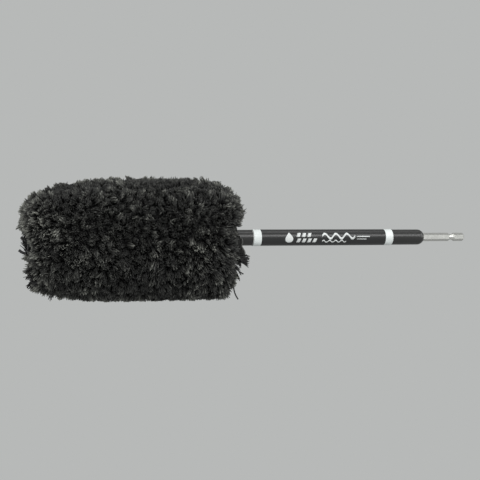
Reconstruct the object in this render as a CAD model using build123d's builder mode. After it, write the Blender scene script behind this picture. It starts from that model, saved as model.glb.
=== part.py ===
"""Drill-driven wheel brush with a soft pile head and a free-spinning hand grip.

Millimetres. The brush's axis is X, +X runs from the head to the drill, +Z is up, and the origin
is the centre of the hex shank's end face. Every piece that turns with the drill sits on the shaft
tube. The grip tube turns freely on two plain bushes, so a hand can hold it while the head spins.
"""

from build123d import *
import math
import os

# Quarter-inch hex drive shank, with the ball groove of a power bit
hex_flats = 6.35
hex_sides = 6
hex_turn = 30
shank_exposed = 39.7
shank_seat = 20.0
shank_clearance = 0.034
groove_start = 9.5
groove_width = 5.4
groove_root_diameter = 4.7
shank_chamfer = 0.8
drive_pin_diameter = 2.5

# Shaft tube
shaft_wall = 1.05
shaft_tip_recess = 0.6
plug_length = 16.0
pin_wall = 0.5
pin_recess = 0.1

# Collars at each end of the grip
collar_wall = 1.9
nose_collar_length = 29.6
nose_wall = 7.5
nose_lip = 0.45
nose_shoulder_radius = 6.0
neck_collar_length = 27.0
edge_break = 0.3

# Free-spinning grip and its bearings
running_gap = 0.05
end_float = 0.1
washer_thickness = 0.4
washer_wall = 1.5
bush_wall = 0.8
bush_depth = 14.0
grip_tube_wall = 0.7
grip_skin = 0.6
grip_length = 112.0
ring_width = 6.9
ring_step = 0.1

# Core of the head: two hub mouldings, a former tube, foam and the end fixing
hub_flange = 3.0
boss_wall = 5.25
boss_length = 20.0
hub_pin_diameter = 3.0
hub_pin_inset = 12.0
rib_count = 6
rib_thickness = 1.6
spigot_wall = 2.5
spigot_length = 6.0
former_bore = 32.0
former_wall = 2.0
core_length = 134.0
foam_thickness = 16.3
foam_edge_radius = 6.0
screw_diameter = 4.0
screw_length = 16.0
screw_head_diameter = 8.0
screw_head_height = 3.1
socket_flats = 2.5
socket_depth = 1.9
tip_washer_diameter = 18.0
tip_washer_thickness = 1.2
pad_thickness = 8.0
pad_pocket_clearance = 0.5

# Knitted cover, its pile and its two drawcords
backing_thickness = 1.2
gather_length = 11.0
nub_radius = 6.0
nub_length = 12.0
pile_height = 16.5
pile_rear_cover = 12.5
pile_front_cover = 14.0
pile_rear_radius = 14.0
pile_front_radius = 20.0
pile_taper_length = 54.0
pile_taper_drop = 8.0
pile_taper_radius = 70.0
pile_flat_depth = 1.0
neck_opening = 3.2
tip_opening = 3.2
cord_radius = 1.25
cord_gap = 0.05
rear_cord_offset = 8.0
front_cord_offset = 8.5
cord_tail_reach = 10.0
cord_tails = 2
cord_tail_angle = 180
cord_tail_spread = 45

# Diameters that follow from the fits
hex_corners = hex_flats / math.cos(math.radians(30))
shaft_bore = hex_corners + 2 * shank_clearance
shaft_diameter = shaft_bore + 2 * shaft_wall
collar_diameter = shaft_diameter + 2 * collar_wall
nose_face_diameter = hex_corners + 2 * nose_lip
nose_cone = (collar_diameter - nose_face_diameter) / 2
bush_bore = shaft_diameter + 2 * running_gap
bush_diameter = bush_bore + 2 * bush_wall
grip_tube_diameter = bush_diameter + 2 * grip_tube_wall
grip_diameter = grip_tube_diameter + 2 * grip_skin
ring_diameter = grip_diameter + 2 * ring_step
washer_diameter = shaft_diameter + 2 * washer_wall
boss_diameter = shaft_diameter + 2 * boss_wall
rib_inner = (shaft_diameter + boss_wall) / 2
rib_outer = (former_bore - spigot_wall) / 2
former_diameter = former_bore + 2 * former_wall
foam_diameter = former_diameter + 2 * foam_thickness
hub_diameter = foam_diameter - 2 * foam_edge_radius
pocket_diameter = tip_washer_diameter + 2 * pad_pocket_clearance
pocket_depth = tip_washer_thickness + screw_head_height + pad_pocket_clearance
cover_radius = foam_diameter / 2 + backing_thickness
pile_radius = cover_radius + pile_height
rear_cord_ring_radius = collar_diameter / 2 + backing_thickness + cord_gap + cord_radius
front_cord_ring_radius = nub_radius + cord_gap + cord_radius

# Stations along the axis, from the drill end to the tip
x_nose = -shank_exposed
x_tube_drive = x_nose - nose_wall
x_shank_inner = x_tube_drive - shank_seat
x_drive_pin = x_tube_drive - shank_seat / 2
x_nose_back = x_nose - nose_collar_length
x_nose_ring = x_nose_back - washer_thickness - end_float
x_grip_drive = x_nose_ring - ring_width
x_grip_head = x_grip_drive - grip_length
x_neck_ring = x_grip_head - ring_width
x_neck_front = x_neck_ring - washer_thickness - end_float
x_hub_rear = x_neck_front - neck_collar_length
x_core_rear = x_hub_rear - hub_flange
x_hub_pin = x_core_rear - hub_pin_inset
x_core_front = x_core_rear - core_length
x_hub_front = x_core_front - hub_flange
x_tube_tip = x_hub_front + shaft_tip_recess
x_screw_seat = x_hub_front - tip_washer_thickness
x_pad_front = x_hub_front - pad_thickness
x_gather_end = x_hub_rear + gather_length
x_rear_cord = x_hub_rear + rear_cord_offset
x_nub = x_pad_front - backing_thickness
x_front_cord = x_nub - front_cord_offset
x_pile_rear = x_hub_rear + backing_thickness + pile_rear_cover
x_pile_front = x_nub - pile_front_cover


def cross_section(x):
    """Plane across the axis at x, facing the drill."""
    return Plane.YZ.offset(x)


def pin_reach(outer_diameter, pin_diameter):
    """Half length of a cross pin whose ends stay inside a round of the given diameter."""
    return math.sqrt(outer_diameter**2 - pin_diameter**2) / 2 - pin_recess


def cover_section(grow):
    """Half section of the space inside the cover, grown outwards by the given thickness."""
    neck = collar_diameter / 2 + grow
    barrel = foam_diameter / 2 + grow
    corner = foam_edge_radius + grow
    with BuildSketch(Plane.XZ) as section:
        with BuildLine():
            FilletPolyline(
                (x_gather_end, 0),
                (x_gather_end, neck),
                (x_hub_rear + grow, neck),
                (x_hub_rear + grow, barrel),
                (x_pad_front - grow, barrel),
                (x_pad_front - grow, 0),
                radius=(0, 0, 0, corner, corner, 0),
                close=True,
            )
        make_face()
    return section.sketch


# ---- Drive end ----

with BuildPart() as drive_shank:
    with BuildSketch(cross_section(x_shank_inner)):
        RegularPolygon(hex_flats / 2, hex_sides, major_radius=False, rotation=hex_turn)
    extrude(amount=-x_shank_inner)
    chamfer(faces().sort_by(Axis.X)[-1].edges(), length=shank_chamfer)
    with BuildSketch(Plane.XZ):
        with BuildLine():
            groove = ThreePointArc(
                (-groove_start, hex_corners / 2),
                (-groove_start - groove_width / 2, groove_root_diameter / 2),
                (-groove_start - groove_width, hex_corners / 2),
            )
            Line(groove @ 1, groove @ 0)
        make_face()
    revolve(axis=Axis.X, mode=Mode.SUBTRACT)
    with BuildSketch(Plane(origin=(x_drive_pin, 0, 0), z_dir=(0, 1, 0))):
        Circle(drive_pin_diameter / 2)
    extrude(amount=shaft_diameter, both=True, mode=Mode.SUBTRACT)
drive_shank.part.label = "drive_shank"

with BuildPart() as shaft_tube:
    with BuildSketch(cross_section(x_tube_tip)):
        Circle(shaft_diameter / 2)
        Circle(shaft_bore / 2, mode=Mode.SUBTRACT)
    extrude(amount=x_tube_drive - x_tube_tip)
    with BuildSketch(Plane(origin=(x_drive_pin, 0, 0), z_dir=(0, 1, 0))):
        Circle(drive_pin_diameter / 2)
    extrude(amount=shaft_diameter, both=True, mode=Mode.SUBTRACT)
    with BuildSketch(Plane(origin=(x_hub_pin, 0, 0), z_dir=(0, 1, 0))):
        Circle(hub_pin_diameter / 2)
    extrude(amount=shaft_diameter, both=True, mode=Mode.SUBTRACT)
shaft_tube.part.label = "shaft_tube"

with BuildPart() as drive_pin:
    with BuildSketch(Plane(origin=(x_drive_pin, 0, 0), z_dir=(0, 1, 0))):
        Circle(drive_pin_diameter / 2)
        Circle(drive_pin_diameter / 2 - pin_wall, mode=Mode.SUBTRACT)
        with Locations((drive_pin_diameter / 2, 0)):
            Rectangle(drive_pin_diameter, pin_wall, mode=Mode.SUBTRACT)
    extrude(amount=pin_reach(shaft_diameter, drive_pin_diameter), both=True)
drive_pin.part.label = "drive_pin"

with BuildPart() as nose_collar:
    with BuildSketch(Plane.XZ):
        with BuildLine():
            FilletPolyline(
                (x_nose_back, 0),
                (x_nose_back, collar_diameter / 2),
                (x_nose - nose_cone, collar_diameter / 2),
                (x_nose, nose_face_diameter / 2),
                (x_nose, 0),
                radius=(0, edge_break, nose_shoulder_radius, 0, 0),
                close=True,
            )
        make_face()
    revolve(axis=Axis.X)
    with BuildSketch(cross_section(x_nose_back)):
        Circle(shaft_diameter / 2)
    extrude(amount=x_tube_drive - x_nose_back, mode=Mode.SUBTRACT)
    with BuildSketch(cross_section(x_tube_drive)):
        RegularPolygon(hex_flats / 2, hex_sides, major_radius=False, rotation=hex_turn)
    extrude(amount=nose_wall, mode=Mode.SUBTRACT)
nose_collar.part.label = "nose_collar"

# ---- Free-spinning grip ----

with BuildPart() as nose_washer:
    with BuildSketch(cross_section(x_nose_back)):
        Circle(washer_diameter / 2)
        Circle(shaft_diameter / 2, mode=Mode.SUBTRACT)
    extrude(amount=-washer_thickness)
nose_washer.part.label = "nose_washer"

with BuildPart() as neck_washer:
    with BuildSketch(cross_section(x_neck_front)):
        Circle(washer_diameter / 2)
        Circle(shaft_diameter / 2, mode=Mode.SUBTRACT)
    extrude(amount=washer_thickness)
neck_washer.part.label = "neck_washer"

with BuildPart() as nose_bush:
    with BuildSketch(cross_section(x_grip_drive)):
        Circle(ring_diameter / 2)
    extrude(amount=ring_width)
    fillet(edges().filter_by(GeomType.CIRCLE), radius=edge_break)
    with BuildSketch(cross_section(x_grip_drive)):
        Circle(bush_diameter / 2)
    extrude(amount=-bush_depth)
    with BuildSketch(cross_section(x_nose_ring)):
        Circle(bush_bore / 2)
    extrude(amount=-ring_width - bush_depth, mode=Mode.SUBTRACT)
nose_bush.part.label = "nose_bush"

with BuildPart() as neck_bush:
    mirror(nose_bush.part, about=cross_section((x_nose_ring + x_neck_ring) / 2))
neck_bush.part.label = "neck_bush"

with BuildPart() as grip_tube:
    with BuildSketch(cross_section(x_grip_head)):
        Circle(grip_tube_diameter / 2)
        Circle(bush_diameter / 2, mode=Mode.SUBTRACT)
    extrude(amount=grip_length)
grip_tube.part.label = "grip_tube"

with BuildPart() as grip_sleeve:
    with BuildSketch(cross_section(x_grip_head)):
        Circle(grip_diameter / 2)
        Circle(grip_tube_diameter / 2, mode=Mode.SUBTRACT)
    extrude(amount=grip_length)
grip_sleeve.part.label = "grip_sleeve"

# ---- Neck and core of the head ----

with BuildPart() as neck_collar:
    with BuildSketch(cross_section(x_hub_rear)):
        Circle(collar_diameter / 2)
    extrude(amount=neck_collar_length)
    fillet(edges().filter_by(GeomType.CIRCLE).sort_by(Axis.X)[-1], radius=edge_break)
    with BuildSketch(cross_section(x_hub_rear)):
        Circle(shaft_diameter / 2)
    extrude(amount=neck_collar_length, mode=Mode.SUBTRACT)
neck_collar.part.label = "neck_collar"

# One moulding closes both ends of the core. This is it in the rear position.
with BuildPart() as hub_moulding:
    with BuildSketch(cross_section(x_core_rear)):
        Circle(hub_diameter / 2)
    extrude(amount=hub_flange)
    with BuildSketch(cross_section(x_core_rear)):
        Circle(former_bore / 2)
        Circle(former_bore / 2 - spigot_wall, mode=Mode.SUBTRACT)
        with PolarLocations((rib_inner + rib_outer) / 2, rib_count):
            Rectangle(rib_outer - rib_inner, rib_thickness)
    extrude(amount=-spigot_length)
    with BuildSketch(cross_section(x_core_rear)):
        Circle(boss_diameter / 2)
    extrude(amount=-boss_length)
    with BuildSketch(cross_section(x_hub_rear)):
        Circle(shaft_diameter / 2)
    extrude(amount=-hub_flange - boss_length, mode=Mode.SUBTRACT)

with BuildPart() as rear_hub:
    add(hub_moulding.part)
    with BuildSketch(Plane(origin=(x_hub_pin, 0, 0), z_dir=(0, 1, 0))):
        Circle(hub_pin_diameter / 2)
    extrude(amount=boss_diameter, both=True, mode=Mode.SUBTRACT)
rear_hub.part.label = "rear_hub"

with BuildPart() as tip_hub:
    mirror(hub_moulding.part, about=cross_section((x_core_rear + x_core_front) / 2))
tip_hub.part.label = "tip_hub"

with BuildPart() as hub_pin:
    with BuildSketch(Plane(origin=(x_hub_pin, 0, 0), z_dir=(0, 1, 0))):
        Circle(hub_pin_diameter / 2)
        Circle(hub_pin_diameter / 2 - pin_wall, mode=Mode.SUBTRACT)
        with Locations((hub_pin_diameter / 2, 0)):
            Rectangle(hub_pin_diameter, pin_wall, mode=Mode.SUBTRACT)
    extrude(amount=pin_reach(boss_diameter, hub_pin_diameter), both=True)
hub_pin.part.label = "hub_pin"

with BuildPart() as core_former:
    with BuildSketch(cross_section(x_core_front)):
        Circle(former_diameter / 2)
        Circle(former_bore / 2, mode=Mode.SUBTRACT)
    extrude(amount=core_length)
core_former.part.label = "core_former"

with BuildPart() as foam_core:
    with BuildSketch(cross_section(x_core_front)):
        Circle(foam_diameter / 2)
    extrude(amount=core_length)
    fillet(edges().filter_by(GeomType.CIRCLE).sort_by(Axis.X)[-1], radius=foam_edge_radius)
    with BuildSketch(cross_section(x_core_front)):
        Circle(former_diameter / 2)
    extrude(amount=core_length, mode=Mode.SUBTRACT)
foam_core.part.label = "foam_core"

# ---- End fixing ----

with BuildPart() as tube_plug:
    with BuildSketch(cross_section(x_tube_tip)):
        Circle(shaft_bore / 2)
        Circle(screw_diameter / 2, mode=Mode.SUBTRACT)
    extrude(amount=plug_length)
tube_plug.part.label = "tube_plug"

with BuildPart() as tip_washer:
    with BuildSketch(cross_section(x_hub_front)):
        Circle(tip_washer_diameter / 2)
        Circle(screw_diameter / 2, mode=Mode.SUBTRACT)
    extrude(amount=-tip_washer_thickness)
tip_washer.part.label = "tip_washer"

with BuildPart() as tip_screw:
    with BuildSketch(cross_section(x_screw_seat)):
        Circle(screw_head_diameter / 2)
    extrude(amount=-screw_head_height)
    fillet(edges().filter_by(GeomType.CIRCLE).sort_by(Axis.X)[0], radius=screw_head_height / 2)
    with BuildSketch(cross_section(x_screw_seat)):
        Circle(screw_diameter / 2)
    extrude(amount=screw_length)
    with BuildSketch(cross_section(x_screw_seat - screw_head_height)):
        RegularPolygon(socket_flats / 2, hex_sides, major_radius=False)
    extrude(amount=socket_depth, mode=Mode.SUBTRACT)
tip_screw.part.label = "tip_screw"

with BuildPart() as tip_pad:
    with BuildSketch(cross_section(x_hub_front)):
        Circle(foam_diameter / 2)
    extrude(amount=-pad_thickness)
    fillet(edges().filter_by(GeomType.CIRCLE).sort_by(Axis.X)[0], radius=foam_edge_radius)
    with BuildSketch(cross_section(x_hub_front)):
        Circle(pocket_diameter / 2)
    extrude(amount=-pocket_depth, mode=Mode.SUBTRACT)
tip_pad.part.label = "tip_pad"

# ---- Cover ----

with BuildPart() as sleeve_backing:
    revolve(cover_section(backing_thickness), axis=Axis.X)
    revolve(cover_section(0), axis=Axis.X, mode=Mode.SUBTRACT)
    with BuildSketch(cross_section(x_nub)):
        Circle(nub_radius)
    extrude(amount=-nub_length)
sleeve_backing.part.label = "sleeve_backing"

with BuildPart() as pile:
    with BuildSketch(Plane.XZ):
        with BuildLine():
            FilletPolyline(
                (x_pile_rear, 0),
                (x_pile_rear, pile_radius),
                (x_pile_front + pile_taper_length, pile_radius),
                (x_pile_front, pile_radius - pile_taper_drop),
                (x_pile_front, 0),
                radius=(0, pile_rear_radius, pile_taper_radius, pile_front_radius, 0),
                close=True,
            )
        make_face()
    revolve(axis=Axis.X)
    revolve(cover_section(backing_thickness), axis=Axis.X, mode=Mode.SUBTRACT)
    with BuildSketch(cross_section(x_pile_rear)):
        Circle(collar_diameter / 2 + backing_thickness + neck_opening)
    extrude(amount=-pile_rear_cover, mode=Mode.SUBTRACT)
    with BuildSketch(cross_section(x_pile_front)):
        Circle(nub_radius + tip_opening)
    extrude(amount=pile_front_cover, mode=Mode.SUBTRACT)
    split(bisect_by=Plane.XY.offset(pile_flat_depth - pile_radius), keep=Keep.TOP)
pile.part.label = "pile"

with BuildPart() as rear_drawcord:
    with BuildSketch(Plane.XZ):
        with Locations((x_rear_cord, rear_cord_ring_radius)):
            Circle(cord_radius)
    revolve(axis=Axis.X)
rear_drawcord.part.label = "rear_drawcord"

with BuildPart() as front_drawcord:
    with BuildSketch(Plane.XZ):
        with Locations((x_front_cord, front_cord_ring_radius)):
            Circle(cord_radius)
    revolve(axis=Axis.X)
    with BuildSketch(cross_section(x_front_cord)):
        with PolarLocations(
            front_cord_ring_radius,
            cord_tails,
            start_angle=cord_tail_angle,
            angular_range=cord_tail_spread,
            endpoint=True,
        ):
            Circle(cord_radius)
    extrude(amount=-cord_tail_reach)
front_drawcord.part.label = "front_drawcord"

# ---- Write each piece ----

os.makedirs("parts", exist_ok=True)
for piece in (
    drive_shank,
    shaft_tube,
    drive_pin,
    nose_collar,
    nose_washer,
    neck_washer,
    nose_bush,
    neck_bush,
    grip_tube,
    grip_sleeve,
    neck_collar,
    rear_hub,
    tip_hub,
    hub_pin,
    core_former,
    foam_core,
    tube_plug,
    tip_washer,
    tip_screw,
    tip_pad,
    sleeve_backing,
    pile,
    rear_drawcord,
    front_drawcord,
):
    export_step(piece.part, f"parts/{piece.part.label}.step")
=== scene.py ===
"""Looks of a drill-driven wheel brush: soft pile head, free-spinning grip, hex shank.

Run as a script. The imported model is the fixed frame, and every size here comes from it or from
the settings below. Metres; +X runs from the head to the drill, +Z is up.
"""

import math
import random

import bmesh
import bpy
from mathutils import Matrix, Vector, noise


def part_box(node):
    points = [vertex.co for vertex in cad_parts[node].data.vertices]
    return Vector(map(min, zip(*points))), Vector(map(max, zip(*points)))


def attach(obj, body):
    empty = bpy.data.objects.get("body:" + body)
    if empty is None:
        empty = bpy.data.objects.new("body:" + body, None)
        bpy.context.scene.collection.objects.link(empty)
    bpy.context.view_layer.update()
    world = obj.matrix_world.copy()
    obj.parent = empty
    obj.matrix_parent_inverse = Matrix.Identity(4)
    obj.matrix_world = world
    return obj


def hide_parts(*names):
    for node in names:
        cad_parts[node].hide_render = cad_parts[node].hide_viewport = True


bl_info = {
    "name": "Wheel Brush Looks",
    "version": (1, 0, 0),
    "blender": (4, 5, 0),
    "location": "3D View > Sidebar > Wheel Brush",
    "description": "Pile, cover, cords, print and finishes of a drill-driven wheel brush",
    "category": "Object",
}

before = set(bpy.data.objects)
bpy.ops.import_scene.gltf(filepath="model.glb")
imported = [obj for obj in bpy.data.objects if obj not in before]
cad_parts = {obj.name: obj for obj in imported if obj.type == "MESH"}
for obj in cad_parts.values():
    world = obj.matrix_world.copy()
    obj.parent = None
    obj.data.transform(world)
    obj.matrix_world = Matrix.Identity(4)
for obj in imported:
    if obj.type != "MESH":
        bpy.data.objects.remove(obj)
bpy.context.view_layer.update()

PILE_LOW, PILE_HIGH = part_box("pile")
COVER_LOW, COVER_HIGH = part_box("sleeve_backing")
CORE_LOW, CORE_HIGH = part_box("foam_core")
PAD_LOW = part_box("tip_pad")[0]
HUB_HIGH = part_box("rear_hub")[1]
COLLAR_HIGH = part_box("neck_collar")[1]
GRIP_LOW, GRIP_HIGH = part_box("grip_sleeve")
CORE_MIDDLE = (CORE_LOW.x + CORE_HIGH.x) / 2
FLOOR_HEIGHT = PILE_LOW.z
PILE_RADIUS = PILE_HIGH.y
COVER_RADIUS = COVER_HIGH.y
COLLAR_RADIUS = COLLAR_HIGH.z
GRIP_RADIUS = GRIP_HIGH.z
STRAND_MAP = "OFBake"
AXIS = Vector((1, 0, 0))
FULL_TURN = 2 * math.pi


# ---- Settings ----


class BrushPileSettings(bpy.types.PropertyGroup):
    """Sizes and colours of the pile"""

    lock_pitch: bpy.props.FloatProperty(
        name="Lock Pitch",
        description="Distance between neighbouring locks at their roots",
        default=0.0021,
        unit="LENGTH",
    )
    lock_length: bpy.props.FloatProperty(
        name="Lock Length",
        description="Length of a lock above the dense under-pile",
        default=0.0076,
        unit="LENGTH",
    )
    tuft_size: bpy.props.FloatProperty(
        name="Tuft Size",
        description="Width of the tufts that the locks gather into",
        default=0.0046,
        unit="LENGTH",
    )
    strand_radius: bpy.props.FloatProperty(
        name="Strand Radius",
        description="Radius of one strand at its root",
        default=0.00047,
        unit="LENGTH",
    )
    strands: bpy.props.IntProperty(
        name="Strands",
        description="Strands in one lock",
        default=6,
    )
    # the root colour is partly the fibres' own tone and partly painted shade deep in the pile
    root_colour: bpy.props.FloatVectorProperty(
        name="Root Colour",
        description="Colour deep in the pile",
        default=(0.0030, 0.0030, 0.0028),
        subtype="COLOR",
        size=3,
    )
    tip_colour: bpy.props.FloatVectorProperty(
        name="Tip Colour",
        description="Colour of the strands' tips",
        default=(0.29, 0.294, 0.268),
        subtype="COLOR",
        size=3,
    )
    seed: bpy.props.IntProperty(
        name="Seed",
        description="Start of the random draws that lay the locks",
        default=11,
    )


class BrushHandleSettings(bpy.types.PropertyGroup):
    """Colours of the handle"""

    grip_colour: bpy.props.FloatVectorProperty(
        name="Grip Colour",
        description="Soft skin of the grip",
        default=(0.0100, 0.0103, 0.0103),
        subtype="COLOR",
        size=3,
    )
    collar_colour: bpy.props.FloatVectorProperty(
        name="Collar Colour",
        description="Moulded collars at both ends of the grip",
        default=(0.0135, 0.0135, 0.0130),
        subtype="COLOR",
        size=3,
    )
    ring_colour: bpy.props.FloatVectorProperty(
        name="Ring Colour",
        description="White bushes at both ends of the grip",
        default=(0.655, 0.69, 0.68),
        subtype="COLOR",
        size=3,
    )
    steel_colour: bpy.props.FloatVectorProperty(
        name="Steel Colour",
        description="Drive shank",
        default=(0.66, 0.66, 0.63),
        subtype="COLOR",
        size=3,
    )


class BrushStageSettings(bpy.types.PropertyGroup):
    """Camera, floor and lights"""

    azimuth: bpy.props.FloatProperty(
        name="Azimuth",
        description="Camera's turn round the brush",
        default=math.radians(-15.2),
        subtype="ANGLE",
    )
    elevation: bpy.props.FloatProperty(
        name="Elevation",
        description="Camera's height as an angle",
        default=math.radians(1.0),
        subtype="ANGLE",
    )
    distance: bpy.props.FloatProperty(
        name="Distance",
        description="Camera's distance from its target",
        default=0.883,
        unit="LENGTH",
    )
    target: bpy.props.FloatVectorProperty(
        name="Target",
        description="Point in the middle of the view",
        default=(-0.2060, 0.0, -0.0019),
        subtype="TRANSLATION",
        size=3,
    )
    lens: bpy.props.FloatProperty(
        name="Lens",
        description="Focal length in millimetres on a 36 mm sensor",
        default=78.75,
    )
    studio_grey: bpy.props.FloatVectorProperty(
        name="Studio Grey",
        description="Floor and surroundings",
        default=(0.474, 0.485, 0.479),
        subtype="COLOR",
        size=3,
    )
    key_power: bpy.props.FloatProperty(
        name="Key Power",
        description="Power of the large softbox above the camera",
        default=28.0,
        unit="POWER",
    )
    front_light: bpy.props.FloatProperty(
        name="Front Light",
        description="Strength of the even light from the camera's side",
        default=0.68,
    )
    back_light: bpy.props.FloatProperty(
        name="Back Light",
        description="Strength of the even light from behind",
        default=0.30,
    )


# ---- Finishes ----


class Finish:
    """A material under construction: its nodes, its links and its main shader."""

    def __init__(self, name, roughness, metallic=0.0):
        self.material = bpy.data.materials.new(name)
        self.material.use_nodes = True
        self.tree = self.material.node_tree
        self.shader = self.tree.nodes["Principled BSDF"]
        self.shader.inputs["Roughness"].default_value = roughness
        self.shader.inputs["Metallic"].default_value = metallic

    def node(self, kind, **settings):
        made = self.tree.nodes.new(kind)
        for key, value in settings.items():
            setattr(made, key, value)
        return made

    def link(self, source, target):
        self.tree.links.new(source, target)

    def place(self, scale=(1, 1, 1)):
        """Object coordinates, stretched by a Mapping node."""
        where = self.node("ShaderNodeTexCoord")
        mapping = self.node("ShaderNodeMapping")
        mapping.inputs["Scale"].default_value = scale
        self.link(where.outputs["Object"], mapping.inputs["Vector"])
        return mapping.outputs["Vector"]

    def noise(self, vector, scale, detail=3.0, roughness=0.55):
        made = self.node("ShaderNodeTexNoise")
        made.inputs["Scale"].default_value = scale
        made.inputs["Detail"].default_value = detail
        made.inputs["Roughness"].default_value = roughness
        self.link(vector, made.inputs["Vector"])
        return made.outputs["Fac"]

    def ramp(self, value, stops):
        """A colour ramp from (position, colour) stops."""
        made = self.node("ShaderNodeValToRGB")
        bar = made.color_ramp
        while len(bar.elements) < len(stops):
            bar.elements.new(0.5)
        for element, (position, colour) in zip(bar.elements, stops):
            element.position = position
            element.color = (*colour, 1.0)
        self.link(value, made.inputs["Fac"])
        return made.outputs["Color"]

    def spread(self, value, low, high):
        """The value mapped from 0..1 to low..high."""
        made = self.node("ShaderNodeMapRange")
        made.inputs["To Min"].default_value = low
        made.inputs["To Max"].default_value = high
        self.link(value, made.inputs["Value"])
        return made.outputs["Result"]

    def multiply(self, first, second):
        made = self.node("ShaderNodeMix", data_type="RGBA", blend_type="MULTIPLY")
        made.inputs["Factor"].default_value = 1.0
        self.link(first, made.inputs["A"])
        self.link(second, made.inputs["B"])
        return made.outputs["Result"]

    def colour(self, source):
        self.link(source, self.shader.inputs["Base Color"])

    def roughness(self, source):
        self.link(source, self.shader.inputs["Roughness"])

    def bump(self, height, strength, distance):
        made = self.node("ShaderNodeBump")
        made.inputs["Strength"].default_value = strength
        made.inputs["Distance"].default_value = distance
        self.link(height, made.inputs["Height"])
        self.link(made.outputs["Normal"], self.shader.inputs["Normal"])


def shades(colour, low, high):
    """Two ramp stops: the colour darkened and lightened."""
    return [(0.25, tuple(c * low for c in colour)), (0.75, tuple(c * high for c in colour))]


def moulded_finish(name, colour, roughness, grain=2600, depth=0.00003):
    """Moulded plastic or soft rubber with a fine grain and faint handling marks."""
    finish = Finish(name, roughness)
    where = finish.place()
    finish.colour(finish.ramp(finish.noise(where, 90), shades(colour, 0.86, 1.14)))
    finish.roughness(finish.spread(finish.noise(where, 240), roughness - 0.07, roughness + 0.09))
    finish.bump(finish.noise(where, grain, detail=2), 0.35, depth)
    return finish.material


def steel_finish(name, colour, roughness):
    """Drawn steel, with fine lines along the axis and small scuffs."""
    finish = Finish(name, roughness, metallic=1.0)
    lines = finish.noise(finish.place((30, 2600, 2600)), 1.0, detail=4)
    scuffs = finish.noise(finish.place(), 420, detail=4)
    finish.colour(finish.ramp(scuffs, shades(colour, 0.82, 1.08)))
    finish.roughness(finish.spread(lines, roughness - 0.08, roughness + 0.12))
    finish.bump(lines, 0.25, 0.00002)
    return finish.material


STRAND_GREYS = (
    (0.0, (0.07, 0.07, 0.07)),
    (0.40, (0.16, 0.16, 0.16)),
    (0.70, (0.41, 0.41, 0.40)),
    (1.0, (1.0, 1.0, 0.97)),
)


def pile_finish(settings):
    """Microfibre strands: dark at the root, partly their own tone and partly painted shade deep in
    the pile, lighter at the tip, each lock in its own shade.
    """
    finish = Finish("microfibre_pile", 0.62)
    strand = finish.node("ShaderNodeUVMap", uv_map=STRAND_MAP)
    parts = finish.node("ShaderNodeSeparateXYZ")
    finish.link(strand.outputs["UV"], parts.inputs["Vector"])
    root, tip = tuple(settings.root_colour), tuple(settings.tip_colour)
    middle = tuple(r + 0.22 * (t - r) for r, t in zip(root, tip))
    # painted shade: the ramp darkens the strands towards the root, deep in the pile, on top of
    # their own dark tone
    height = finish.ramp(parts.outputs["Y"], [(0.35, root), (0.75, middle), (1.0, tip)])
    grey = finish.ramp(parts.outputs["X"], STRAND_GREYS)
    finish.colour(finish.multiply(height, grey))
    finish.roughness(finish.spread(parts.outputs["Y"], 0.80, 0.42))
    streaks = finish.node("ShaderNodeMapping")
    streaks.inputs["Scale"].default_value = (900, 6, 1)
    finish.link(strand.outputs["UV"], streaks.inputs["Vector"])
    finish.bump(finish.noise(streaks.outputs["Vector"], 1.0), 0.3, 0.0001)
    finish.shader.inputs["Sheen Weight"].default_value = 0.04
    finish.shader.inputs["Sheen Roughness"].default_value = 0.4
    finish.shader.inputs["Specular IOR Level"].default_value = 0.3
    return finish.material


def felt_finish(name, colour):
    """Dense fibres seen end on: near black, softly mottled."""
    finish = Finish(name, 0.9)
    where = finish.place()
    finish.colour(finish.ramp(finish.noise(where, 700, detail=4), shades(colour, 0.6, 1.6)))
    finish.bump(finish.noise(where, 1500), 0.6, 0.0004)
    return finish.material


def knit_finish(name, colour):
    """Knitted polyester: rows of small loops round the cover."""
    finish = Finish(name, 0.8)
    rows = finish.node("ShaderNodeTexWave", wave_type="BANDS", bands_direction="X")
    rows.inputs["Scale"].default_value = 260
    rows.inputs["Distortion"].default_value = 2.5
    rows.inputs["Detail"].default_value = 2
    finish.link(finish.place(), rows.inputs["Vector"])
    finish.colour(finish.ramp(rows.outputs["Fac"], shades(colour, 0.55, 1.5)))
    finish.roughness(finish.spread(rows.outputs["Fac"], 0.72, 0.9))
    finish.bump(rows.outputs["Fac"], 0.5, 0.0003)
    finish.shader.inputs["Sheen Weight"].default_value = 0.2
    return finish.material


def foam_finish(name, colour):
    """Open-cell foam."""
    finish = Finish(name, 0.9)
    cells = finish.node("ShaderNodeTexVoronoi")
    cells.inputs["Scale"].default_value = 900
    finish.link(finish.place(), cells.inputs["Vector"])
    finish.colour(finish.ramp(cells.outputs["Distance"], shades(colour, 0.5, 1.3)))
    finish.bump(cells.outputs["Distance"], 0.7, 0.0004)
    return finish.material


# ---- Mesh helpers ----


def finished(name, bm, material, body):
    """Turns a bmesh into a piece at the origin that rides on a body."""
    mesh = bpy.data.meshes.new(name)
    bm.to_mesh(mesh)
    bm.free()
    mesh.materials.append(material)
    mesh.shade_smooth()
    piece = bpy.data.objects.new(name, mesh)
    bpy.context.scene.collection.objects.link(piece)
    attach(piece, body)
    return piece


def held(value):
    """The value kept between 0 and 1."""
    return max(0.0, min(1.0, value))


def across_axis(point):
    """Distance of a point from the axis."""
    return math.hypot(point.y, point.z)


def angle_of(point):
    """Angle of a point round the axis; 0 is up and a quarter turn is towards -Y."""
    return math.atan2(-point.y, point.z)


def random_way(rng):
    """A random vector in the cube from -1 to 1."""
    return Vector((rng.uniform(-1, 1), rng.uniform(-1, 1), rng.uniform(-1, 1)))


def spin_round(bm, steps):
    """Spins everything in the bmesh once round the axis, into a closed ring."""
    bmesh.ops.spin(
        bm,
        geom=bm.verts[:] + bm.edges[:],
        cent=(0, 0, 0),
        axis=AXIS,
        angle=FULL_TURN,
        steps=steps,
        use_merge=True,
        use_duplicate=False,
    )


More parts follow.
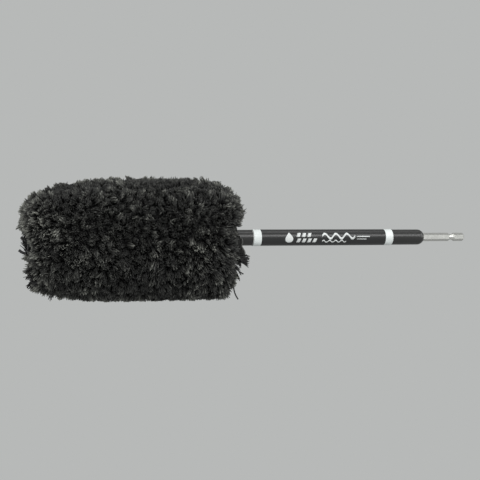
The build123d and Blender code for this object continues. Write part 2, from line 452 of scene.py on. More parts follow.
def around_axis(radius, angle):
    """Point across the axis; angle 0 is up and a quarter turn is towards -Y."""
    return Vector((0, -radius * math.sin(angle), radius * math.cos(angle)))


def turned_shell(outline, roundings, pitch, steps, closed=True):
    """An outline of (x, radius) corners, rounded, divided and spun round the axis."""
    bm = bmesh.new()
    corners = [bm.verts.new((x, 0, radius)) for x, radius in outline]
    following = corners[1:] + corners[:1] if closed else corners[1:]
    for first, second in zip(corners, following):
        bm.edges.new((first, second))
    for corner, rounding in zip(corners, roundings):
        if rounding:
            bmesh.ops.bevel(
                bm,
                geom=[corner],
                offset=rounding,
                offset_type="OFFSET",
                segments=6,
                profile=0.5,
                affect="VERTICES",
                material=-1,
            )
    for edge in bm.edges[:]:
        cuts = int(edge.calc_length() / pitch)
        if cuts:
            bmesh.ops.subdivide_edges(bm, edges=[edge], cuts=cuts)
    spin_round(bm, steps)
    bmesh.ops.recalc_face_normals(bm, faces=bm.faces)
    return bm


# ---- Pile ----

LOCK_SHOWING = 0.88  # share of a lock's length that stands above its root


def under_pile_outline():
    """Outer outline of the dense lower half of the pile, and the rounding of each corner.

    It lies most of a lock's length below the pile's own surface.
    """
    depth = bpy.context.scene.brush_pile.lock_length * LOCK_SHOWING
    rear = PILE_HIGH.x - depth
    front = PILE_LOW.x + depth
    barrel = PILE_RADIUS - depth
    outline = [
        (rear - 0.0045, 0.022),
        (rear - 0.0058, 0.031),
        (rear - 0.0115, barrel - 0.0042),
        (rear - 0.0250, barrel),
        (front + 0.0560, barrel),
        (front + 0.0130, barrel - 0.0080),
        (front + 0.0012, barrel - 0.0165),
        (front, 0.0095),
    ]
    roundings = [0, 0.004, 0.0045, 0.010, 0.025, 0.010, 0.006, 0]
    return outline, roundings


# Length of the locks round the closed tip, as (distance from the axis, share of full length)
TIP_DIMPLE = ((0.006, 0.50), (0.012, 0.72), (0.022, 1.0))

# How far along the axis each end of the pile leans, as (height, lean towards the drill)
TIP_LEAN = (
    (-0.050, -0.0060),
    (-0.042, -0.0032),
    (-0.035, -0.0044),
    (-0.0285, 0.0036),
    (-0.022, 0.0062),
    (-0.015, 0.0040),
    (-0.008, 0.0050),
    (-0.002, 0.0053),
    (0.005, 0.0010),
    (0.012, -0.0018),
    (0.018, 0.0002),
    (0.024, -0.0002),
    (0.040, 0.0032),
)
NECK_LEAN = (
    (-0.049, 0.0140),
    (-0.042, 0.0076),
    (-0.035, 0.0024),
    (-0.029, 0.0030),
    (-0.022, 0.0000),
    (0.008, 0.0000),
    (0.013, 0.0028),
    (0.018, 0.0059),
    (0.025, 0.0078),
    (0.032, 0.0084),
    (0.039, 0.0068),
    (0.046, 0.0030),
)
FAR_SIDE_LEAN = 0.0065  # least lean at the neck on the +Y side, where it covers the ruffle
LEAN_FADE = 0.025  # length over which a lean fades in
TIP_LEAN_REACH = 0.015  # start of the tip's lean, from the core's tip end
NECK_LEAN_REACH = 0.035  # start of the neck's lean, from the pile's neck end
NECK_HOLE = 0.016  # the lean leaves alone what lies within this radius
NECK_SAG = 0.12  # growth of the lower rim at the neck
TOP_SAG = 0.074  # settling of the upper side


def between(value, stops):
    """Reads a table of (position, value) stops, with straight lines between them."""
    for (low, first), (high, second) in zip(stops, stops[1:]):
        if value < high:
            return first + (second - first) * max(0.0, value - low) / (high - low)
    return stops[-1][1]


def slumped(point):
    """The pile's root surface as it settles: an uneven tip, and rims that sag near the neck."""
    tipward = held((CORE_LOW.x + TIP_LEAN_REACH - point.x) / LEAN_FADE)
    neckward = held((point.x - PILE_HIGH.x + NECK_LEAN_REACH) / LEAN_FADE)
    outer = held((across_axis(point) - NECK_HOLE) / 0.010)
    low = held(-point.z / 0.038)
    high = max(0.0, point.z / PILE_RADIUS)
    grow = 1.0 + NECK_SAG * neckward * low**3
    far = held(point.y / 0.020)
    neck_lean = max(between(point.z, NECK_LEAN), FAR_SIDE_LEAN * far)
    lean = tipward * between(point.z, TIP_LEAN) + neckward * outer * neck_lean
    return Vector((point.x + lean, point.y * grow, point.z * (grow - TOP_SAG * high)))


STRAND_TINT = 0.40  # how far one strand's shade may be from its lock's
TUFT_NOISE = 731.0  # scale at which neighbouring tufts draw unlike values


def strand_lock(rng, settings):
    """One lock: a few blunt strands that curl and gather. Height runs from 0 to 1 along Z."""
    mesh = bpy.data.meshes.new("lock")
    lock = bmesh.new()
    gather = rng.uniform(0.75, 1.65)
    curl = rng.uniform(0.0002, 0.0009)
    turns = rng.uniform(0.3, 0.9)
    for _ in range(settings.strands):
        width = settings.strand_radius * rng.uniform(0.75, 1.2)
        reach = rng.uniform(0.80, 1.05)
        foot = around_axis(0.0013 * math.sqrt(rng.random()), rng.uniform(0, FULL_TURN))
        phase = rng.uniform(0, FULL_TURN)
        strand = bmesh.new()
        bmesh.ops.create_cone(
            strand, cap_ends=True, segments=3, radius1=width, radius2=width * 0.62, depth=1.0
        )
        sides = [e for e in strand.edges if abs(e.verts[0].co.z - e.verts[1].co.z) > 0.5]
        bmesh.ops.subdivide_edges(strand, edges=sides, cuts=1)
        for vert in strand.verts:
            height = vert.co.z + 0.5
            swell = 1.0 + 0.9 * height * (1.0 - height)
            swing = curl * height * 1.4
            angle = phase + turns * FULL_TURN * height
            sideways = foot * (1.0 + (gather - 1.0) * height)
            vert.co.x = vert.co.x * swell + sideways.y + swing * math.cos(angle)
            vert.co.y = vert.co.y * swell + sideways.z + swing * math.sin(angle)
            vert.co.z = height * reach
        strand_map = strand.loops.layers.uv.new(STRAND_MAP)
        tint = rng.uniform(-STRAND_TINT, STRAND_TINT)
        for face in strand.faces:
            for loop in face.loops:
                loop[strand_map].uv = (tint, min(1.0, loop.vert.co.z))
        strand.to_mesh(mesh)
        strand.free()
        lock.from_mesh(mesh)
    lock.to_mesh(mesh)
    lock.free()
    return mesh


class LockBed:
    """Grows locks into one mesh, each bent and shaded on its own."""

    variants = 24
    floor_ripple = 0.0012  # height over which strands that reach the floor are spread
    top_shade = 0.995
    shade_step = 0.004  # keeps a face's map from being a line

    def __init__(self, seed):
        self.rng = random.Random(seed)
        self.settings = bpy.context.scene.brush_pile
        self.patterns = [strand_lock(self.rng, self.settings) for _ in range(self.variants)]
        self.bed = bmesh.new()
        self.bed.loops.layers.uv.new(STRAND_MAP)
        self.carrier = bpy.data.meshes.new("carrier")

    def grow(self, root, normal, length, bend, shade):
        """One lock from root along normal, its tip carried sideways by bend."""
        rng = self.rng
        lock = bmesh.new()
        lock.from_mesh(rng.choice(self.patterns))
        turn = normal.to_track_quat("Z", "Y").to_matrix() @ Matrix.Rotation(
            rng.uniform(0, FULL_TURN), 3, "Z"
        )
        for vert in lock.verts:
            height = vert.co.z
            spread = turn @ Vector((vert.co.x, vert.co.y, 0))
            vert.co = root + spread + normal * (height * length) + bend * height**1.6
            if vert.co.z < FLOOR_HEIGHT:
                ripple = abs(noise.noise(vert.co * 900.0))
                vert.co.z = FLOOR_HEIGHT + self.floor_ripple * ripple
        strand_map = lock.loops.layers.uv[STRAND_MAP]
        for face in lock.faces:
            for side, loop in enumerate(face.loops):
                tint = max(0.0, min(self.top_shade, shade + loop[strand_map].uv.x))
                loop[strand_map].uv.x = tint + self.shade_step * (side & 1)
        lock.to_mesh(self.carrier)
        lock.free()
        self.bed.from_mesh(self.carrier)

    def finished(self, name, material):
        for mesh in (*self.patterns, self.carrier):
            bpy.data.meshes.remove(mesh)
        piece = finished(name, self.bed, material, "brush")
        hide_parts("pile")
        return piece


def tuft_at(root, size):
    """The tuft that a root belongs to: the tuft's middle, and how far out the root is, 0 to 1."""
    distances, middles = noise.voronoi(root / size)
    return middles[0] * size, distances[0] / (distances[0] + distances[1] + 1e-6) * 2


TUFT_LEAN = 0.80  # how far all the locks of one tuft lean alike, in lengths of a lock
SWEEP_LEAN = 0.25  # how far the lay of the pile sweeps from place to place
RIDGE_LEAN = 1.2  # parting of the pile into ridges beside the gathered neck
GATHER = 0.45  # share of the way to the tuft's middle that a lock's tip is drawn
DROOP = 0.12  # fall of a lock's tip under its own weight


def lay_of_pile(root, normal, length, middle):
    """How far a lock's tip is carried sideways: into its tuft, with the tuft's lean, and down."""
    lean = noise.noise_vector(middle * TUFT_NOISE)
    sweep = noise.noise_vector(root * 45.0 + Vector((7, 3, 5)))
    bend = lean * TUFT_LEAN + sweep * SWEEP_LEAN
    near_neck = held((root.x - PILE_HIGH.x + 0.045) / 0.03)
    across = across_axis(root) or 1.0
    ridge = noise.noise(Vector((root.x * 210.0, root.y / across * 1.6, root.z / across * 1.6)))
    bend += AXIS * (ridge * RIDGE_LEAN * near_neck)
    bend *= length
    bend += (middle - root) * GATHER
    bend -= normal * bend.dot(normal)
    return bend + Vector((0, 0, -DROOP * length))


def ring_order(face):
    """Orders a turned shell's faces ring by ring, so that every run draws for them alike."""
    middle = face.calc_center_median()
    angle = angle_of(middle) % FULL_TURN
    return round(middle.x, 6), round(angle, 5)


def lock_roots(seed):
    """Root points and normals all over the under-pile's outer face."""
    settings = bpy.context.scene.brush_pile
    outline, roundings = under_pile_outline()
    steps = round(FULL_TURN * (PILE_RADIUS - settings.lock_length) / settings.lock_pitch)
    shell = turned_shell(outline, roundings, settings.lock_pitch, steps, closed=False)
    rng = random.Random(seed)
    roots = []
    full = settings.lock_pitch**2
    for face in sorted(shell.faces, key=ring_order):
        middle = face.calc_center_median()
        normal = face.normal
        if normal.dot(Vector((middle.x - CORE_MIDDLE, middle.y, middle.z))) < 0:
            normal = -normal
        if rng.random() > 1.15 * face.calc_area() / full:
            continue
        jitter = random_way(rng)
        jitter -= normal * jitter.dot(normal)
        roots.append((slumped(middle + jitter * settings.lock_pitch * 0.45), normal.copy()))
    shell.free()
    return roots


RUFFLE_TRIM = 0.55  # share of their length that the locks beside the ruffle keep
SHEEN_BAND, SHEEN_FADE = 0.72, 0.28  # where the painted sheen at the head's ends starts, and its depth
BOUNCE_BAND, BOUNCE_FADE = -0.036, 0.009  # height below which painted bounce light from the floor lightens the pile, and its depth
PLAIN_SHADE = 0.34
TUFT_SHADE = 0.86  # how far tufts differ from each other
RIM_PAINTED_SHADE = 0.18  # painted shade: how much darker a tuft's rim, in the gap to the next tuft, is than its middle
PATCH_SHADE = 0.34  # how far broad patches of the pile differ
END_PAINTED_SHEEN = 0.62  # painted sheen: how much lighter the head's ends are
FLOOR_BOUNCE_LIGHT = 0.20  # painted bounce light: how much lighter the pile is at the floor
LOCK_SHADE = 0.12  # how far locks of one tuft differ


def beside_ruffle(root):
    """True for roots at the neck that would hide the ruffle, where the locks are shorter."""
    return root.x > CORE_HIGH.x + 0.001 and -0.027 < root.z < 0.011 and root.y < 0.005


def lay_locks(name, roots, seed, material):
    """Covers the given roots with locks as one piece.

    A lock is lighter near both ends of the head, with painted sheen, and at the floor, with
    painted bounce light, and darker away from the middle of its tuft, with painted shade in
    the gaps between tufts.
    """
    bed = LockBed(seed)
    rng = bed.rng
    base = bed.settings.lock_length
    size = bed.settings.tuft_size
    half = (PILE_HIGH.x - PILE_LOW.x) / 2
    for root, normal in roots:
        middle, outward = tuft_at(root, size)
        own = noise.noise(middle * TUFT_NOISE + Vector((9, 9, 9)))
        length = base * (1.12 - 0.30 * outward + 0.60 * own + rng.uniform(-0.10, 0.12))
        if root.x < CORE_LOW.x:
            length *= between(across_axis(root), TIP_DIMPLE)
        if beside_ruffle(root):
            length *= RUFFLE_TRIM
        # painted sheen: how far a root lies within the lighter band at each end of the head
        ends = max(0.0, abs(root.x - CORE_MIDDLE) / half - SHEEN_BAND) / SHEEN_FADE
        patch = noise.noise(root * 38.0)
        # painted shade: the rim of each tuft, in the gaps between tufts, is darker
        shade = PLAIN_SHADE + TUFT_SHADE * own - RIM_PAINTED_SHADE * outward + PATCH_SHADE * patch
        shade += END_PAINTED_SHEEN * ends
        # painted bounce light from the floor: locks near the floor are lighter
        shade += FLOOR_BOUNCE_LIGHT * held((BOUNCE_BAND - root.z) / BOUNCE_FADE)
        shade += rng.uniform(-LOCK_SHADE, LOCK_SHADE)
        bend = lay_of_pile(root, normal, length, middle)
        bed.grow(root, normal, length, bend, max(0.02, min(0.96, shade)))
    return bed.finished(name, material)


# Root, heading, length, number of locks and shade of each tuft
STRAY_TUFTS = (
    ((PILE_HIGH.x - 0.0072, -0.018, 0.0160), (0.55, 0.0, 0.80), 0.0110, 8, 0.50),
    ((PILE_HIGH.x - 0.0030, -0.020, -0.0165), (0.93, -0.1, -0.35), 0.0085, 11, 0.62),
    ((PILE_HIGH.x - 0.0076, -0.020, -0.0245), (0.55, 0.0, -0.80), 0.0090, 9, 0.62),
    ((PILE_LOW.x + 0.0105, -0.008, -0.0245), (-0.95, 0.0, -0.30), 0.0085, 6, 0.60),
    ((PILE_LOW.x + 0.0110, -0.010, -0.0300), (-0.80, 0.0, -0.60), 0.0085, 6, 0.70),
    ((PILE_LOW.x + 0.0165, -0.012, -0.0345), (-0.65, 0.0, -0.75), 0.0080, 6, 0.80),
    ((PILE_LOW.x + 0.0220, -0.014, -0.0385), (-0.45, 0.0, -0.90), 0.0075, 6, 0.80),
)


def closing_tufts():
    """Tufts round the closed tip that fall over the nub of the cover, as in STRAY_TUFTS."""
    for degrees in (0, 50, 190, 235, 275, 320):
        side = around_axis(1.0, math.radians(degrees))
        root = side * 0.0098 + AXIS * (PILE_LOW.x + 0.0066)
        yield root, -side - AXIS * 0.15, 0.0075, 5, 0.60


class BRUSH_OT_under_pile(bpy.types.Operator):
    """Dense lower half of the pile, which the locks grow from"""

    bl_idname = "brush.under_pile"
    bl_label = "Under-Pile"

    def execute(self, context):
        outline, roundings = under_pile_outline()
        hub = HUB_HIGH.x + 0.0014
        tip = COVER_LOW.x + 0.0115
        wall = COVER_RADIUS + 0.0004
        outline += [(tip, 0.0080), (tip, wall), (hub, wall), (hub, 0.0215)]
        bm = turned_shell(outline, roundings + [0, 0.006, 0.006, 0], 0.004, 96)
        margin = 0.001
        for vert in bm.verts:
            beyond_ends = vert.co.x < tip - margin or vert.co.x > hub + margin
            if beyond_ends or across_axis(vert.co) > COVER_RADIUS + margin:
                vert.co = slumped(vert.co)
            vert.co.z = max(vert.co.z, FLOOR_HEIGHT + 0.001)
        # near-black colour: partly the fibres' own tone and partly painted shade deep in the pile
        material = felt_finish("pile_roots", (0.0012, 0.0012, 0.0011))
        piece = finished("under_pile", bm, material, "brush")
        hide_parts("pile")
        return {"FINISHED"}


class BRUSH_OT_pile_locks(bpy.types.Operator):
    """Locks of microfibre strands over the whole head, in bands from the tip to the neck"""

    bl_idname = "brush.pile_locks"
    bl_label = "Pile Locks"

    bands = 7

    def execute(self, context):
        settings = context.scene.brush_pile
        noise.seed_set(settings.seed)
        material = pile_finish(settings)
        roots = sorted(lock_roots(settings.seed), key=lambda lock: lock[0].x)
        share = math.ceil(len(roots) / self.bands)
        for band in range(self.bands):
            part = roots[band * share : (band + 1) * share]
            lay_locks(f"pile_band_{band + 1}", part, settings.seed + 1 + band, material)
        return {"FINISHED"}


class BRUSH_OT_stray_tufts(bpy.types.Operator):
    """Tufts that stand out of the gather at the neck and out of the lower rim at the tip"""

    bl_idname = "brush.stray_tufts"
    bl_label = "Stray Tufts"

    def execute(self, context):
        settings = context.scene.brush_pile
        bed = LockBed(settings.seed + 40)
        rng = bed.rng
        for root, way, length, count, shade in (*STRAY_TUFTS, *closing_tufts()):
            heading = Vector(way).normalized()
            for _ in range(count):
                stray = random_way(rng)
                foot = Vector(root) + stray * 0.0022
                normal = (heading + stray * 0.22).normalized()
                own = length * rng.uniform(0.75, 1.05)
                bed.grow(foot, normal, own, stray * own * 0.25, shade + rng.uniform(-0.15, 0.15))
        bed.finished("stray_tufts", bpy.data.materials["microfibre_pile"])
        return {"FINISHED"}


# ---- Cover and cords ----


class BRUSH_OT_knit_cover(bpy.types.Operator):
    """Knitted backing of the pile, gathered round the neck and closed in a nub at the tip"""

    bl_idname = "brush.knit_cover"
    bl_label = "Knit Cover"

    thickness = 0.0012
    folds = 13
    gathered = 0.022  # radius within which the cloth lies in folds
    hem_radius = 0.0156  # the hem's radius before it flares
    flare = 0.0190  # the hem's radius after it
    hang = 0.0045  # how much further the hem flares below and less above
    fold_height = 0.0007

    def execute(self, context):
        neck = COLLAR_RADIUS + 0.0003
        outer = neck + self.thickness
        inner_barrel = COVER_RADIUS - self.thickness
        hub = HUB_HIGH.x + 0.0001
        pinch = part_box("rear_drawcord")
        pinch_x = (pinch[0].x + pinch[1].x) / 2
        hem_x = PILE_HIGH.x + 0.0012
        tip_x = PAD_LOW.x - 0.0001
        corners = [
            (hem_x, 0.0150, 0),
            (hem_x - 0.0008, 0.0162, 0),
            (pinch_x + 0.0012, outer + 0.0006, 0.001),
            (pinch_x - 0.0012, outer + 0.0006, 0.001),
            (hub + self.thickness, 0.0150, 0.002),
            (hub + self.thickness, COVER_RADIUS, 0.0072),
            (tip_x - self.thickness, COVER_RADIUS, 0.0072),
            (tip_x - self.thickness, 0.0068, 0.002),
            (COVER_LOW.x + 0.0032, 0.0050, 0.002),
            (COVER_LOW.x + 0.0042, 0.0012, 0),
            (tip_x, 0.0040, 0.002),
            (tip_x, inner_barrel, 0.006),
            (hub, inner_barrel, 0.006),
            (hub, neck + 0.006, 0),
            (pinch_x - 0.0012, neck, 0),
            (pinch_x + 0.0012, neck, 0),
        ]
        outline = [(x, radius) for x, radius, _ in corners]
        bm = turned_shell(outline, [rounding for *_, rounding in corners], 0.0022, 208)
        for vert in bm.verts:
            radius = across_axis(vert.co)
            if radius > self.gathered:
                continue
            angle = angle_of(vert.co)
            wave = math.sin(self.folds * angle + 1.7 * math.sin(2 * angle + 0.6))
            wave += 0.35 * math.sin(5 * angle + 1.1)
            if vert.co.x > pinch_x:
                loose = min(1.0, (vert.co.x - pinch_x) / (hem_x - pinch_x))
                droop = -math.cos(angle)
                reach = (self.flare + self.hang * droop) / self.hem_radius - 1.0 + 0.09 * wave
                vert.co.y *= 1.0 + loose * reach
                vert.co.z *= 1.0 + loose * reach
                sag = 0.0036 * max(-1.0, min(1.0, 2.0 * droop)) - 0.0020
                vert.co.x += loose * (sag + self.fold_height * wave)
            elif vert.co.x > hub - 0.0005:
                vert.co.x += self.fold_height * (1 + wave) * min(1.0, radius / 0.012)
        material = knit_finish("knitted_backing", (0.055, 0.055, 0.052))
        piece = finished("knit_cover", bm, material, "brush")
        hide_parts("sleeve_backing")
        return {"FINISHED"}


def twisted_ring(x, radius, thickness, strands=3, turns=26, steps=240):
    """A laid cord as a closed ring round the axis at x."""
    bm = bmesh.new()
    section = bmesh.ops.create_circle(bm, segments=12, radius=thickness)["verts"]
    bmesh.ops.rotate(bm, verts=section, matrix=Matrix.Rotation(math.pi / 2, 3, "X"))
    bmesh.ops.translate(bm, verts=section, vec=(x, 0, radius))
    spin_round(bm, steps)
    for vert in bm.verts:
        around = angle_of(vert.co)
        centre = around_axis(radius, around) + Vector((x, 0, 0))
        arm = vert.co - centre
        side = math.atan2(arm.dot(centre - Vector((x, 0, 0))) / radius, arm.x)
        lobe = 1.0 - 0.16 * abs(math.sin(strands * side / 2 + turns * around / 2))
        vert.co = centre + arm * lobe
    bmesh.ops.recalc_face_normals(bm, faces=bm.faces)
    return bm


def add_cord_stub(bm, points, thickness):
    """A short laid cord through a few points, closed at both ends."""
    steps = 8
    section = bmesh.ops.create_circle(bm, cap_ends=True, segments=10, radius=thickness)["verts"]
    start, middle, end = (Vector(p) for p in points)
    face = section[0].link_faces[0]

    def at(t):
        return start.lerp(middle, t).lerp(middle.lerp(end, t), t)

    def heading(t):
        return (middle - start).lerp(end - middle, t).normalized()

    frame_turn = heading(0).to_track_quat("Z", "Y").to_matrix().to_4x4()
    base = Matrix.Translation(at(0)) @ frame_turn
    bmesh.ops.transform(bm, matrix=base, verts=section)
    previous = base
    for step in range(1, steps + 1):
        t = step / steps
        grown = bmesh.ops.extrude_face_region(bm, geom=[face], use_keep_orig=step == 1)["geom"]
        verts = [g for g in grown if isinstance(g, bmesh.types.BMVert)]
        face = next(g for g in grown if isinstance(g, bmesh.types.BMFace))
        twist = Matrix.Rotation(0.5 * step, 4, "Z")
        turn = heading(t).to_track_quat("Z", "Y").to_matrix().to_4x4() @ twist
        here = Matrix.Translation(at(t)) @ turn
        bmesh.ops.transform(bm, matrix=here @ previous.inverted(), verts=verts)
        previous = here


class BRUSH_OT_drawcords(bpy.types.Operator):
    """Cord round the gathered neck, and the cord that closes the tip with its two cut ends"""

    bl_idname = "brush.drawcords"
    bl_label = "Drawcords"

    thickness = 0.00118  # radius of the cord
    yarn_thickness = 0.0006  # radius of the loose yarn at the neck

    def execute(self, context):
        material = knit_finish("drawcord_weave", (0.009, 0.009, 0.009))
        for node in ("rear_drawcord", "front_drawcord"):
            low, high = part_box(node)
            thickness = self.thickness
            x = high.x - thickness if node == "front_drawcord" else (low.x + high.x) / 2
            bm = twisted_ring(x, high.z - thickness, thickness)
            if node == "front_drawcord":
                tip = PILE_LOW.x
                upper = (x, -0.0060, -0.0020), (tip + 0.0045, -0.0060, -0.0022)
                lower = (x, -0.0030, -0.0070), (tip + 0.0045, -0.0035, -0.0150)
                add_cord_stub(bm, (*upper, (tip - 0.0004, -0.0030, 0.0009)), thickness)
                add_cord_stub(bm, (*lower, (tip - 0.0022, -0.0030, -0.0090)), thickness)
            else:
                end = PILE_HIGH.x
                yarn = (end - 0.0072, -0.020, -0.0340), (end - 0.0086, -0.020, -0.0440)
                yarn_end = (end - 0.0036, -0.020, FLOOR_HEIGHT + 0.0008)
                add_cord_stub(bm, (*yarn, yarn_end), self.yarn_thickness)
            bmesh.ops.recalc_face_normals(bm, faces=bm.faces)
            piece = finished(node + "_weave", bm, material, "brush")
            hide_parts(node)
        return {"FINISHED"}


class BRUSH_OT_foam(bpy.types.Operator):
    """Foam cylinder and tip pad under the cover"""

    bl_idname = "brush.foam"
    bl_label = "Foam"

    def execute(self, context):
        material = foam_finish("open_cell_foam", (0.05, 0.05, 0.052))
        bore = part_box("core_former")[1].z
        for node, hole in (("foam_core", bore), ("tip_pad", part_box("tip_washer")[1].z + 0.0006)):
            low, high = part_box(node)
            trim, crisp, soft = 0.0004, 0.0008, 0.0055
            outline = [
                (low.x + trim, hole),
                (low.x + trim, high.z - trim),
                (high.x - trim, high.z - trim),
                (high.x - trim, hole),
            ]
            rear_rounding = crisp if node == "tip_pad" else soft
            bm = turned_shell(outline, [crisp, soft, rear_rounding, crisp], 0.006, 64)
            for vert in bm.verts:
                swell = noise.noise(vert.co * 60.0) * 0.0003
                vert.co.y *= 1.0 - abs(swell) / high.z
                vert.co.z *= 1.0 - abs(swell) / high.z
            piece = finished(node + "_soft", bm, material, "brush")
            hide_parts(node)
        return {"FINISHED"}


# ---- Handle ----


class BRUSH_OT_handle_finishes(bpy.types.Operator):
    """Finishes of the frame's own hard pieces"""

    bl_idname = "brush.handle_finishes"
    bl_label = "Handle Finishes"

    def execute(self, context):
        handle = context.scene.brush_handle
        collars = moulded_finish("moulded_collar", tuple(handle.collar_colour), 0.31)
        rings = moulded_finish("white_acetal", tuple(handle.ring_colour), 0.42, grain=900)
        bright = steel_finish("bright_shank", tuple(handle.steel_colour), 0.30)
        drawn = steel_finish("drawn_tube", (0.50, 0.50, 0.50), 0.38)
        spring = steel_finish("black_spring_steel", (0.08, 0.08, 0.09), 0.40)
        plated = steel_finish("zinc_plate", (0.56, 0.57, 0.58), 0.32)
        hubs = moulded_finish("hub_moulding", (0.05, 0.05, 0.052), 0.5)
        tubes = moulded_finish("extruded_tube", (0.10, 0.10, 0.105), 0.5)
        finishes = {
            "drive_shank": bright,
            "shaft_tube": drawn,
            "drive_pin": spring,
            "hub_pin": spring,
            "nose_collar": collars,
            "neck_collar": collars,
            "nose_washer": moulded_finish("thrust_washer", (0.42, 0.42, 0.40), 0.3),
            "neck_washer": moulded_finish("thrust_washer_neck", (0.42, 0.42, 0.40), 0.3),
            "nose_bush": rings,
            "neck_bush": rings,
            "grip_sleeve": moulded_finish("soft_grip", tuple(handle.grip_colour), 0.31),
            "grip_tube": tubes,
            "core_former": tubes,
            "rear_hub": hubs,
            "tip_hub": hubs,
            "tube_plug": steel_finish("turned_brass", (0.62, 0.46, 0.20), 0.3),
            "tip_washer": plated,
            "tip_screw": plated,
        }
        for name, material in finishes.items():
            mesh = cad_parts[name].data
            mesh.materials.clear()
            mesh.materials.append(material)
        return {"FINISHED"}


class BRUSH_OT_grip_print(bpy.types.Operator):
    """Plain white print on the grip: a water drop, slanted bars, two ripples and two rules"""

    bl_idname = "brush.grip_print"
    bl_label = "Grip Print"

    film = 0.00005

    def drop(self, bm, x, size):
        """A water drop with its point up, divided so that it can bend round the grip."""
        verts = bmesh.ops.create_grid(bm, x_segments=10, y_segments=10, size=1.0)["verts"]
        for vert in verts:
            across = vert.co.x * math.sqrt(1.0 - vert.co.y**2 / 2)
            up = vert.co.y * math.sqrt(1.0 - vert.co.x**2 / 2)
            if up > 0:
                across *= 1.0 - 0.72 * up**1.2
                up *= 1.55
            vert.co = Vector((x + across * size, (up - 0.28) * size, 0))

    def bar(self, bm, x, y, width, height, slant=0.0):
        """A slanted bar, divided so that it can bend round the grip."""
        verts = bmesh.ops.create_grid(bm, x_segments=2, y_segments=6, size=0.5)["verts"]
        for vert in verts:
            across = vert.co.y * height
            vert.co = Vector((x + vert.co.x * width + slant * across, y + across, 0))

    def ripple(self, bm, start, end, y, height, thickness, waves):
        """A ribbon that ripples like water."""
        verts = bmesh.ops.create_grid(bm, x_segments=48, y_segments=1, size=0.5)["verts"]
        for vert in verts:
            t = vert.co.x + 0.5
            lift = height * math.sin(2 * math.pi * waves * t)
            vert.co = Vector((start + t * (end - start), y + lift + vert.co.y * thickness, 0))

    def execute(self, context):
        bm = bmesh.new()
        start = GRIP_LOW.x + 0.0195
        self.drop(bm, start + 0.0045, 0.0036)
        for row, count in ((0.0024, 3), (-0.0026, 4)):
            for index in range(count):
                self.bar(bm, start + 0.0130 + index * 0.0048, row, 0.0030, 0.0036, slant=0.35)
        self.ripple(bm, start + 0.0340, start + 0.0640, 0.0012, 0.0022, 0.0021, 3)
        self.ripple(bm, start + 0.0340, start + 0.0560, -0.0034, 0.0009, 0.0011, 4)
        self.bar(bm, start + 0.0715, 0.0008, 0.0120, 0.0008)
        self.bar(bm, start + 0.0700, -0.0014, 0.0090, 0.0005)
        long_edges = [e for e in bm.edges if abs(e.verts[0].co.y - e.verts[1].co.y) > 0.001]
        bmesh.ops.subdivide_edges(bm, edges=long_edges, cuts=1)
        radius = GRIP_RADIUS + self.film
        for vert in bm.verts:
            angle = math.pi / 2 - vert.co.y / radius
            vert.co = around_axis(radius, angle) + Vector((vert.co.x, 0, 0))
        bmesh.ops.recalc_face_normals(bm, faces=bm.faces)
        for face in bm.faces:
            if face.normal.dot(Vector((0, *face.calc_center_median().yz))) < 0:
                face.normal_flip()
        bmesh.ops.solidify(bm, geom=bm.faces[:], thickness=self.film * 0.8)
        bmesh.ops.recalc_face_normals(bm, faces=bm.faces)
        material = moulded_finish("white_print", (0.62, 0.64, 0.63), 0.5, grain=1800, depth=0.00001)
        finished("grip_print", bm, material, "grip")
        return {"FINISHED"}


# ---- Stage ----


def soft_light(name, place, aim, size, power):
    """A square area light at place, facing aim."""
    data = bpy.data.lights.new(name, "AREA")
    data.shape = "RECTANGLE"
    data.size, data.size_y = size
    data.energy = power
    lamp = bpy.data.objects.new(name, data)
    lamp.location = place
    lamp.rotation_euler = (Vector(aim) - Vector(place)).to_track_quat("-Z", "Y").to_euler()
    bpy.context.scene.collection.objects.link(lamp)


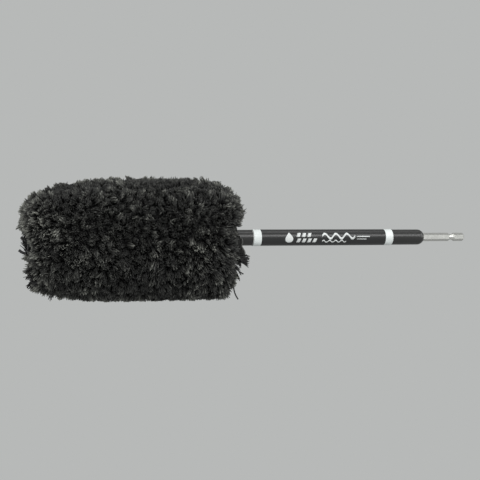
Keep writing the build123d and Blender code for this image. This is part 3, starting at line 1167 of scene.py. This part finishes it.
class BRUSH_OT_studio_stage(bpy.types.Operator):
    """Pale floor, even surroundings, soft lights and the camera"""

    bl_idname = "brush.studio_stage"
    bl_label = "Studio Stage"

    room = 7.0  # radius of the floor and of the backdrop round it

    def execute(self, context):
        scene = context.scene
        stage = scene.brush_stage
        grey = tuple(stage.studio_grey)
        scene.view_settings.view_transform = "Standard"

        world = bpy.data.worlds.new("studio")
        scene.world = world
        world.use_nodes = True
        tree = world.node_tree
        way = tree.nodes.new("ShaderNodeTexCoord")
        parts = tree.nodes.new("ShaderNodeSeparateXYZ")
        fall = tree.nodes.new("ShaderNodeMapRange")
        fall.inputs["From Min"].default_value = -1.0
        fall.inputs["To Min"].default_value = stage.front_light
        fall.inputs["To Max"].default_value = stage.back_light
        tree.links.new(way.outputs["Generated"], parts.inputs["Vector"])
        tree.links.new(parts.outputs["Y"], fall.inputs["Value"])
        tree.links.new(fall.outputs["Result"], tree.nodes["Background"].inputs["Strength"])
        tree.nodes["Background"].inputs["Color"].default_value = (0.98, 1.0, 0.995, 1.0)

        paper = Finish("studio_paper", 0.9)
        paper.shader.inputs["Base Color"].default_value = (0, 0, 0, 1)
        paper.shader.inputs["Specular IOR Level"].default_value = 0.0
        paper.shader.inputs["Emission Color"].default_value = (*grey, 1.0)
        paper.shader.inputs["Emission Strength"].default_value = 1.0
        middle = Matrix.Translation((PILE_LOW.x / 2, 0, FLOOR_HEIGHT - 0.0001))
        for name in ("floor", "backdrop"):
            bm = bmesh.new()
            if name == "floor":
                bmesh.ops.create_circle(
                    bm, cap_ends=True, segments=96, radius=self.room, matrix=middle
                )
            else:
                bmesh.ops.create_uvsphere(
                    bm, u_segments=96, v_segments=48, radius=self.room, matrix=middle
                )
            mesh = bpy.data.meshes.new(name)
            bm.to_mesh(mesh)
            bm.free()
            mesh.materials.append(paper.material)
            shown = bpy.data.objects.new(name, mesh)
            scene.collection.objects.link(shown)
            shown.visible_diffuse = False
            shown.visible_glossy = False
            shown.visible_shadow = False

        target = Vector(stage.target)
        turn, rise = stage.azimuth, stage.elevation
        level = math.cos(rise)
        back = Vector((math.sin(turn) * level, -math.cos(turn) * level, math.sin(rise)))
        data = bpy.data.cameras.new("camera")
        data.lens = stage.lens
        data.sensor_width = 36.0
        camera = bpy.data.objects.new("camera", data)
        camera.location = target + back * stage.distance
        camera.rotation_euler = (-back).to_track_quat("-Z", "Y").to_euler()
        scene.collection.objects.link(camera)
        scene.camera = camera

        aim = Vector((target.x, 0, 0))
        power = stage.key_power
        soft_light("key_softbox", aim + Vector((0.35, -1.90, 1.00)), aim, (2.4, 0.8), power)
        soft_light("top_softbox", aim + Vector((0.00, -0.10, 2.00)), aim, (2.0, 0.9), power * 0.35)
        soft_light("drill_softbox", aim + Vector((1.90, -0.60, 0.60)), aim, (1.2, 1.2), power * 0.5)
        soft_light("tip_softbox", aim + Vector((-1.90, -0.40, 0.50)), aim, (1.2, 1.2), power * 0.5)
        return {"FINISHED"}


# ---- Panel and registration ----


class BRUSH_PT_looks(bpy.types.Panel):
    """Lists the steps that make the brush"""

    bl_idname = "BRUSH_PT_looks"
    bl_label = "Wheel Brush"
    bl_space_type = "VIEW_3D"
    bl_region_type = "UI"
    bl_category = "Wheel Brush"

    def draw(self, context):
        for step in STEPS:
            self.layout.operator(step.bl_idname)
        scene = context.scene
        for group in (scene.brush_pile, scene.brush_handle, scene.brush_stage):
            box = self.layout.box()
            for setting in group.__annotations__:
                box.prop(group, setting)


STEPS = (
    BRUSH_OT_studio_stage,
    BRUSH_OT_under_pile,
    BRUSH_OT_pile_locks,
    BRUSH_OT_stray_tufts,
    BRUSH_OT_knit_cover,
    BRUSH_OT_drawcords,
    BRUSH_OT_foam,
    BRUSH_OT_handle_finishes,
    BRUSH_OT_grip_print,
)
GROUPS = (BrushPileSettings, BrushHandleSettings, BrushStageSettings)
CLASSES = (*GROUPS, *STEPS, BRUSH_PT_looks)


def register():
    for cls in CLASSES:
        bpy.utils.register_class(cls)
    bpy.types.Scene.brush_pile = bpy.props.PointerProperty(type=BrushPileSettings)
    bpy.types.Scene.brush_handle = bpy.props.PointerProperty(type=BrushHandleSettings)
    bpy.types.Scene.brush_stage = bpy.props.PointerProperty(type=BrushStageSettings)


def unregister():
    del bpy.types.Scene.brush_stage
    del bpy.types.Scene.brush_handle
    del bpy.types.Scene.brush_pile
    for cls in reversed(CLASSES):
        bpy.utils.unregister_class(cls)


def main():
    register()
    for step in STEPS:
        group, name = step.bl_idname.split(".")
        getattr(getattr(bpy.ops, group), name)()


if __name__ == "__main__":
    main()
